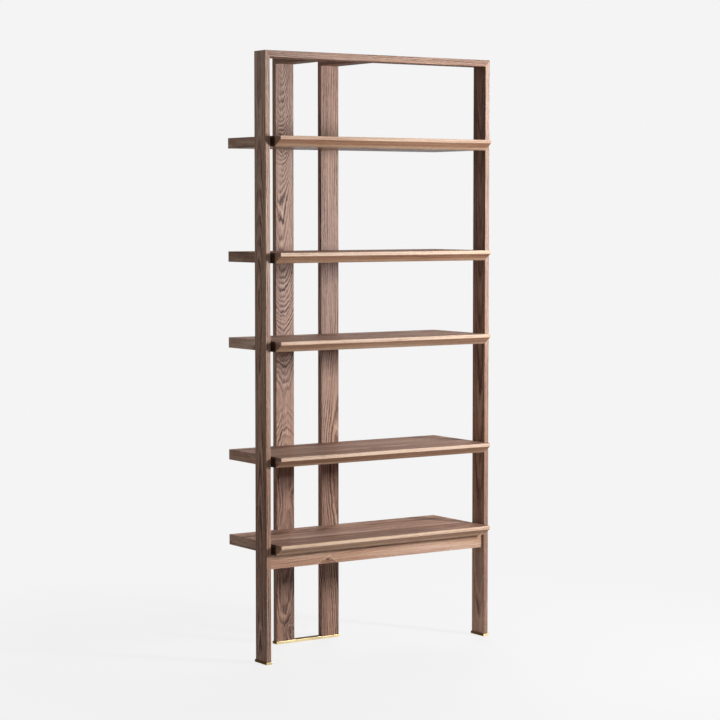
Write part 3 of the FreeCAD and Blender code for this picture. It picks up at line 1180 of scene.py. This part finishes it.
@dataclass(frozen=True)
class Lamp:
    """A rectangular lamp: its place, size and power in watts, whether reflections show it, and its target."""

    name: str
    place: Point
    size: Pair
    power: float
    mirrored: bool = False
    target: Point = (0.0, 0.0, 1.2)

    def hang(self) -> None:
        """Hangs the lamp."""
        light = bpy.data.lights.new(self.name, "AREA")
        light.shape = "RECTANGLE"
        light.size, light.size_y = self.size
        light.energy = self.power
        lamp = add_object(self.name, light)
        lamp.location = self.place
        lamp.rotation_euler = (Vector(self.target) - lamp.location).to_track_quat("-Z", "Y").to_euler()
        lamp.visible_camera = False
        lamp.visible_glossy = self.mirrored


@dataclass
class Studio:
    """Pale floor and low pale wall in a dim room, a key lamp at the front right and two soft ones behind.

    To light and reflections the floor is dark, with a painted pool of light in front of the bookcase.
    """

    pale: float = 0.905
    ambient: float = 0.28
    room_gloss: float = 0.10
    wall_gloss: float = 1.0
    wall_way: Point = (0.56, 0.83, 0.0)
    wall_edges: Pair = (0.45, 0.80)
    wall_top: Pair = (0.44, 0.24)
    floor_radius: float = 14.0
    floor_sides: int = 96
    floor_drop: float = 0.0002
    # painted light and shade: the floor's greys to light and reflections, dark but for a painted pool of
    # light in front
    floor_albedo: float = 0.16
    patch_albedo: float = 0.48
    patch_gloss: float = 0.90
    patch_middle: Pair = (0.1, -0.35)
    patch_edges: Pair = (1.3, 0.7)
    shadow_share: float = 0.08
    floor_glow: float = 0.818
    near_middle: Pair = (0.0, 0.0)
    near_edges: Pair = (2.4, 1.1)
    lamps: tuple[Lamp, ...] = (
        Lamp("key", (1.90, -2.80, 1.80), (0.25, 0.9), 140.0, mirrored=True),
        Lamp("rim", (-2.1, 2.1, 0.7), (1.2, 1.2), 12.0),
        Lamp("back", (2.4, 2.6, 3.2), (1.8, 1.2), 115.0),
    )

    def build(self) -> None:
        """Sets up the studio."""
        self.build_world()
        self.build_floor()
        for lamp in self.lamps:
            lamp.hang()

    def build_world(self) -> None:
        """Makes the background pale to look at, the wall pale in reflections, and the room dim as a light."""
        world = bpy.data.worlds.new("studio")
        world.use_nodes = True
        bpy.context.scene.world = world
        sketch = NodeSketch(world.node_tree)
        rays = sketch.results("ShaderNodeLightPath")
        way = sketch.value("ShaderNodeTexCoord", out="Generated")
        sides = {0: way, 1: self.wall_way}
        facing = sketch.value("ShaderNodeVectorMath", sides, out="Value", operation="DOT_PRODUCT")
        wall = facing.step(*self.wall_edges) * way.parts()[2].step(*self.wall_top)
        glossy = rays["Is Glossy Ray"].math("MAXIMUM", rays["Is Transmission Ray"])
        lifted = glossy * (wall.between(self.room_gloss, self.wall_gloss) - self.ambient)
        strength = rays["Is Camera Ray"].between(self.ambient, self.pale) + lifted
        sketch.fill(world.node_tree.nodes["Background"], {"Color": (1.0,) * 4, "Strength": strength})

    def build_floor(self) -> None:
        """Makes the pale floor, which keeps the shadow near the feet and fades into the background."""
        turns = [math.tau * side / self.floor_sides for side in range(self.floor_sides)]
        corners = [(self.floor_radius * math.cos(turn), self.floor_radius * math.sin(turn), -self.floor_drop)
                   for turn in turns]
        mesh = bpy.data.meshes.new("floor")
        mesh.from_pydata(corners, [], [list(range(self.floor_sides))])
        mesh.materials.append(self.floor_material())
        add_object("floor", mesh)

    def floor_material(self) -> Material:
        """Makes the floor's material, which is clear from below.

        To the camera it is evenly pale. To light and reflections it is dark, with a painted pool of light in
        front.

        Returns:
            The material.
        """
        sketch = MaterialSketch("pale_floor")
        sketch.tree.nodes.remove(sketch.shader)
        rays = sketch.results("ShaderNodeLightPath")
        seen = rays["Is Camera Ray"]
        spot = sketch.spot()
        near = self.distance(spot, self.near_middle).step(*self.near_edges)
        # painted light and shade: to all but the camera the floor is dark, with a brighter pool painted in
        # front of the bookcase
        patch = self.distance(spot, self.patch_middle).step(*self.patch_edges)
        lit_pool_grey = rays["Is Glossy Ray"].between(self.patch_albedo, self.patch_gloss)
        unseen = patch * (lit_pool_grey - self.floor_albedo) + self.floor_albedo
        grey = seen * (near * self.shadow_share - unseen) + unseen
        lit = sketch.value("ShaderNodeBsdfDiffuse", {"Color": sketch.join(grey, grey, grey)})
        strength = seen * near.between(self.pale, self.floor_glow)
        glow = sketch.value("ShaderNodeEmission", {"Strength": strength})
        sides = sketch.value("ShaderNodeMixShader", {
            0: sketch.value("ShaderNodeNewGeometry", out="Backfacing"),
            1: sketch.value("ShaderNodeAddShader", {0: glow, 1: lit}),
            2: sketch.value("ShaderNodeBsdfTransparent"),
        })
        sketch.fill(sketch.tree.nodes["Material Output"], {"Surface": sides})
        return sketch.material

    def distance(self, spot: Value, middle: Pair) -> Value:
        """Gives the distance on the floor from a middle."""
        x, y, _ = spot.parts()
        return (x - middle[0]).hypot(y - middle[1])


@dataclass
class PhotoCamera:
    """Camera at the photograph's place, turned to the right and tilted a little down."""

    place: Point = (-4.8100, -7.1716, 1.7070)
    azimuth: float = math.radians(33.850)
    tilt: float = math.radians(3.591)
    lens: float = 110.53
    shift_up: float = -0.015

    def build(self) -> None:
        """Sets up the camera."""
        camera = bpy.data.cameras.new("photo")
        camera.lens = self.lens
        camera.shift_y = self.shift_up
        holder = add_object("photo", camera)
        holder.location = self.place
        holder.rotation_euler = (math.radians(90.0) - self.tilt, 0.0, -self.azimuth)
        bpy.context.scene.camera = holder


def main() -> None:
    """Builds the looks in order."""
    logging.basicConfig(level=logging.INFO, format="%(name)s: %(message)s")
    bpy.context.scene.view_settings.view_transform = "Standard"
    rings = WalnutRings()
    FrontPortal(rings).dress()
    BackLadder(rings).dress()
    ShelfStack(rings).dress()
    BrassFeet().dress()
    steel = STEEL.material()
    InnerJoinery(steel).dress()
    VisibleFittings(BRONZE.material(), BRASS.material(), steel).build()
    Studio().build()
    PhotoCamera().build()


if __name__ == "__main__":
    main()
